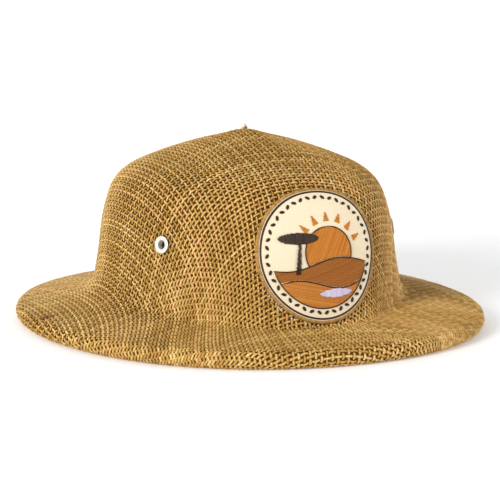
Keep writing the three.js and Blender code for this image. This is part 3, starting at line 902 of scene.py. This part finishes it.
# %% Shapes of the landscape
SUN = (0.12, 0.02, 0.42)
RAY_COUNT, RAY_FIRST, RAY_LAST, RAY_START, RAY_END, RAY_HALF = 7, 0.12, 0.88, 0.5, 0.7, 0.06
HILL_BACK, HILL_FRONT = (-0.16, 0.09, 1.1, 0.6), (-0.48, 0.08, 1.3, 3.4)
POND = (0.2, -0.63, 0.3, 0.075)
TRUNK = (-0.44, -0.3, 0.22, 0.05, 0.028, 0.06)
CANOPY = (-0.4, 0.27, 0.34, 0.1)
PICTURE_EDGE, SEAM = 0.86, 0.012


def skyline(u, hill):
    """A hill's upper edge: height + swell sin(waves pi u + shift)."""
    height, swell, waves, shift = hill
    return height + swell * np.sin(waves * np.pi * u + shift)


def in_oval(u, v, oval):
    return ((u - oval[0]) / oval[2]) ** 2 + ((v - oval[1]) / oval[-1]) ** 2 < 1


def in_sun(u, v):
    return in_oval(u, v, SUN) & (v > skyline(u, HILL_BACK) + SEAM)


def in_hill_back(u, v):
    back, front = skyline(u, HILL_BACK), skyline(u, HILL_FRONT)
    return (np.hypot(u, v) < PICTURE_EDGE) & (v < back) & (v > front + SEAM)


def in_hill_front(u, v):
    return (np.hypot(u, v) < PICTURE_EDGE) & (v < skyline(u, HILL_FRONT))


def in_ray(ray):
    angle = np.pi * (RAY_FIRST + (RAY_LAST - RAY_FIRST) * ray / (RAY_COUNT - 1))

    def inside(u, v):
        spot = (u - SUN[0] + 1j * (v - SUN[1])) * polar(1, -angle)
        narrow = np.abs(spot.imag) < RAY_HALF * (RAY_END - spot.real) / (RAY_END - RAY_START)
        return (spot.real > RAY_START) & (spot.real < RAY_END) & narrow

    return inside, angle


def in_trunk(u, v):
    middle, foot, top, half_foot, half_top, lean = TRUNK
    rise = (v - foot) / (top - foot)
    narrow = np.abs(u - middle - lean * rise) < half_foot + (half_top - half_foot) * rise
    return (rise > 0) & (rise < 1) & narrow


print("the sun is %.0f mm across" % (2 * SUN[2] * field_radius))

# %% Fill stitches
THREAD_PITCH, THREAD_STEP, STITCH_LENGTH = 0.5, 0.55, 4.0
THREAD_SECTION, THREAD_SIDES = (0.29, 0.2), 4  # half width and half height
NEEDLE_DEPTH = 0.16


def fill_stitch(inside, angle, lift, seed):
    """Rows of thread at an angle in degrees. Along a row the lift is that of a string of stitches:
    level in the middle, and down at each needle hole, which steps by a third from row to row."""
    reach = PICTURE_EDGE * field_radius + 1
    row = np.arange(-reach, reach, THREAD_PITCH)[:, None]
    spot = (np.arange(-reach, reach, THREAD_STEP) + 1j * row) * polar(1, np.radians(angle))
    valid = inside(spot.real / field_radius, spot.imag / field_radius)
    rows, columns = np.nonzero(valid.any(1))[0], np.nonzero(valid.any(0))[0]
    cut = np.ix_(np.arange(rows[0], rows[-1] + 1), np.arange(max(columns[0] - 1, 0), columns[-1] + 2))
    spot, valid = spot[cut], valid[cut]
    count, length = spot.shape
    along = np.arange(length) * THREAD_STEP
    phase = np.arange(count)[:, None] / 3 + along / STITCH_LENGTH
    height = lift - NEEDLE_DEPTH * (1 - np.abs(np.sin(np.pi * phase))) ** 3
    path, normal = patch_point(spot.real, spot.imag, height)
    tone = np.random.default_rng(seed).uniform(0, 1, (count, 1))
    return strand_mesh(path, normal, valid, *THREAD_SECTION, along, THREAD_SIDES, tone=tone)


def joined(parts):
    """Several meshes as one, without their texture map."""
    points, faces, marks, shift = [], {}, {}, 0
    for part_points, part_faces, _, part_marks in parts:
        part_points = np.reshape(part_points, (-1, 3))
        for group in part_faces:
            faces.setdefault(group.shape[1], []).append(group + shift)
        for label, values in part_marks.items():
            marks.setdefault(label, []).append(np.ravel(values))
        points.append(part_points)
        shift += len(part_points)
    marks = {label: np.concatenate(values) for label, values in marks.items()}
    return np.concatenate(points), [np.concatenate(group) for group in faces.values()], None, marks


LOW_LIFT, HIGH_LIFT = twill_top + 0.22, twill_top + 0.62
FILLS = [  # place, angle, lift, colour, seed
    ("patch_sun", in_sun, 62, LOW_LIFT, "amber", 20),
    ("patch_hill_back", in_hill_back, 14, LOW_LIFT, "russet", 21),
    ("patch_hill_front", in_hill_front, -12, LOW_LIFT, "amber", 22),
    ("patch_pond", lambda u, v: in_oval(u, v, POND), 90, HIGH_LIFT, "lilac", 23),
]
for ray in range(RAY_COUNT):
    inside, angle = in_ray(ray)
    FILLS.append(("sun_ray_%d" % (ray + 1), inside, np.degrees(angle) + 90, LOW_LIFT, "amber", 40 + ray))
for node, inside, angle, lift, colour, seed in FILLS:
    thread_piece(node + "_stitches", colour, (node,), fill_stitch(inside, angle, lift, seed))
trunk = fill_stitch(in_trunk, 4, HIGH_LIFT, 31)
canopy = fill_stitch(lambda u, v: in_oval(u, v, CANOPY), 84, HIGH_LIFT, 32)
thread_piece("patch_tree_stitches", "dark", ("patch_tree",), joined([trunk, canopy]))

# %% [markdown]
# ## Outlines and leaves
# Dark outlines are the last stitches that go in, over the joins of the fills. Between the picture and the
# ring runs a wreath of small leaves, each a few slanted threads.

# %% Outlines
OUTLINE_HALF, OUTLINE_LIFT = 0.34, twill_top + 0.45
SHORE_END = 0.84  # about where the back hill meets the picture's edge
LEAVES, LEAF_CIRCLE, LEAF_LENGTH, LEAF_HALF, LEAF_LEAN = 44, 0.925, 0.085, 0.024, 0.62
LEAF_THREAD, LEAF_LIFT, LEAF_SIDES = 0.3, twill_top + 0.18, 4


def outline(u, v, half=OUTLINE_HALF, lift=OUTLINE_LIFT, sides=6):
    """A thin cord along a line of places, in shares of the field's radius; it thins at both ends."""
    path, normal = patch_point(u[None] * field_radius, v[None] * field_radius, lift)
    t = np.linspace(0, 1, len(u))[None]
    width = half * (0.35 + 0.65 * np.minimum(1, 12 * np.minimum(t, 1 - t)))
    every, along = np.ones(t.shape, bool), t * 0.6 * len(u)
    return strand_mesh(path, normal, every, width, width * 0.8, along, sides, tone=0.3)


def skyline_cord(hill):
    u = np.linspace(-1, 1, 400)
    v = skyline(u, hill)
    inside = np.hypot(u, v) < PICTURE_EDGE
    return outline(u[inside], v[inside])


def sun_cord():
    angle = np.linspace(-np.pi, np.pi, 500) - np.pi / 2
    u, v = SUN[0] + SUN[2] * np.cos(angle), SUN[1] + SUN[2] * np.sin(angle)
    above = v > skyline(u, HILL_BACK)
    return outline(u[above], v[above])


def shore_cord():
    """Along the picture's edge, from the back hill's left end round the bottom to its right end."""
    ends = np.array([-1, 1])
    u = ends * np.sqrt(PICTURE_EDGE**2 - skyline(ends * SHORE_END, HILL_BACK) ** 2)
    spot = polar(PICTURE_EDGE, np.linspace(*np.mod(np.arctan2(skyline(u, HILL_BACK), u), 2 * np.pi), 260))
    return outline(spot.real, spot.imag)


def leaf(angle, side):
    """A leaf of four threads that fan from its stalk; they lean from the circle by a fixed angle."""
    lean = angle + np.pi / 2 + side * LEAF_LEAN
    t = np.linspace(-1, 1, 7)
    cords = []
    for shift in (-0.75, -0.25, 0.25, 0.75):
        away = shift * LEAF_HALF * np.cos(t * np.pi / 2) ** 0.7
        spot = polar(LEAF_CIRCLE, angle) + polar(LEAF_LENGTH / 2 * t + 1j * away, lean)
        cords.append(outline(spot.real, spot.imag, LEAF_THREAD, LEAF_LIFT, LEAF_SIDES))
    return cords


cords = [skyline_cord(HILL_BACK), skyline_cord(HILL_FRONT), sun_cord(), shore_cord()]
for number in range(LEAVES):
    cords += leaf(2 * np.pi * number / LEAVES, 1 if number % 2 else -1)
thread_piece("patch_outlines_and_leaves", "dark", (), joined(cords))

# %% [markdown]
# ## Snips of sewing thread
# Where the patch meets the brim, snips of the clear sewing thread show below its lower left edge; their pale
# colour is a painted glint.

# %% Sewing thread
SNIPS, SNIP_SIDES = 22, 6


def snips():
    """Short straight threads near the patch's lower left edge, each turned its own way in the patch's plane."""
    seed = np.random.default_rng(8)
    angle = np.radians(seed.uniform(203, 262, SNIPS))
    radius = PATCH_RADIUS + seed.uniform(0.2, 1.9, SNIPS)
    length, way = seed.uniform(0.35, 0.9, SNIPS), seed.uniform(0, np.pi, SNIPS)
    t = np.linspace(-1, 1, 5)[None]
    spot = polar(radius, angle)[:, None] + polar(length, way)[:, None] * t
    v = np.maximum(spot.imag, 0.6 - patch_centre)  # they lie on the brim's foot, not in it
    path, normal = patch_point(spot.real, v, 0.25 + 0.35 * (1 - t**2))
    every, tone = np.ones(v.shape, bool), seed.uniform(0.4, 1, (SNIPS, 1))
    return strand_mesh(path, normal, every, 0.2 * (1 - 0.5 * t**2), 0.17, t, SNIP_SIDES, tone=tone)


points, faces, _, marks = snips()
# Painted glint: the pale colour stands for light glinting on the clear sewing thread.
GLINTING_SEWING = thread_finish("glinting_sewing_thread", (0.56, 0.5, 0.42), (0.9, 0.86, 0.8), 0.3)
make_piece("sewing_thread_snips", points, faces, GLINTING_SEWING, "patch_twill", marks=marks)

# %% [markdown]
# ## Floor and light
# A plain white floor curves up far behind and glows a little, as a light table does. A soft lamp stands on
# the left and a weaker, lower one on the right, and a third is aimed at the backdrop.

# %% Studio
PAPER_HALF, RISE_START, RISE_END, RISE_HEIGHT = 3, 0.45, 0.7, 14  # metres, and shares of the paper's depth


def studio_floor():
    paper = Finish("studio_paper")
    finish = paper.done(
        Base_Color=(0.93, 0.93, 0.93, 1), Roughness=0.9, Emission_Color=(1, 1, 1, 1), Emission_Strength=0.18,
    )
    sides = np.linspace(-2 * PAPER_HALF, 2 * PAPER_HALF, 3)
    across, depth = np.meshgrid(sides, np.linspace(0, 1, 40), indexing="ij")
    bend = np.clip((depth - RISE_START) / (RISE_END - RISE_START), 0, 1) * np.pi / 2
    run = PAPER_HALF * (2 * np.minimum(depth, RISE_START) / RISE_START - 1)
    rise = np.clip(depth - RISE_END, 0, 1) * RISE_HEIGHT
    points = np.stack([across, run + np.sin(bend), rise + 1 - np.cos(bend)], -1).reshape(-1, 3)
    number = np.arange(across.size).reshape(across.shape)
    corners = [number[:-1, :-1], number[1:, :-1], number[1:, 1:], number[:-1, 1:]]
    quads = np.stack(corners, -1).reshape(-1, 4)
    mesh = bpy.data.meshes.new("floor")
    mesh.from_pydata(points, [], quads)
    mesh.materials.append(finish)
    floor = placed("floor", mesh)


def soft_lamp(name, place, size, power, aim=(0, 0, 0.05)):
    lamp = bpy.data.lights.new(name, "AREA")
    lamp.shape, lamp.size, lamp.energy = "DISK", size, power
    stand = placed(name, lamp)
    stand.location = place
    stand.rotation_euler = (Vector(place) - Vector(aim)).to_track_quat("Z", "Y").to_euler()


studio_floor()
soft_lamp("key_lamp", (-2.1, -1.1, 0.85), 0.8, 57)
soft_lamp("fill_lamp", (1.8, -1.5, 0.35), 1.2, 30)
soft_lamp("backdrop_lamp", (0, 1.3, 2.2), 1.5, 75, aim=(0, 3.6, 1.0))
world = bpy.data.worlds.new("studio")
bpy.context.scene.world = world
world.use_nodes = True
background = world.node_tree.nodes["Background"].inputs
background["Color"].default_value = (1, 1, 1, 1)
background["Strength"].default_value = 0.5
bpy.context.scene.view_settings.view_transform = "Standard"
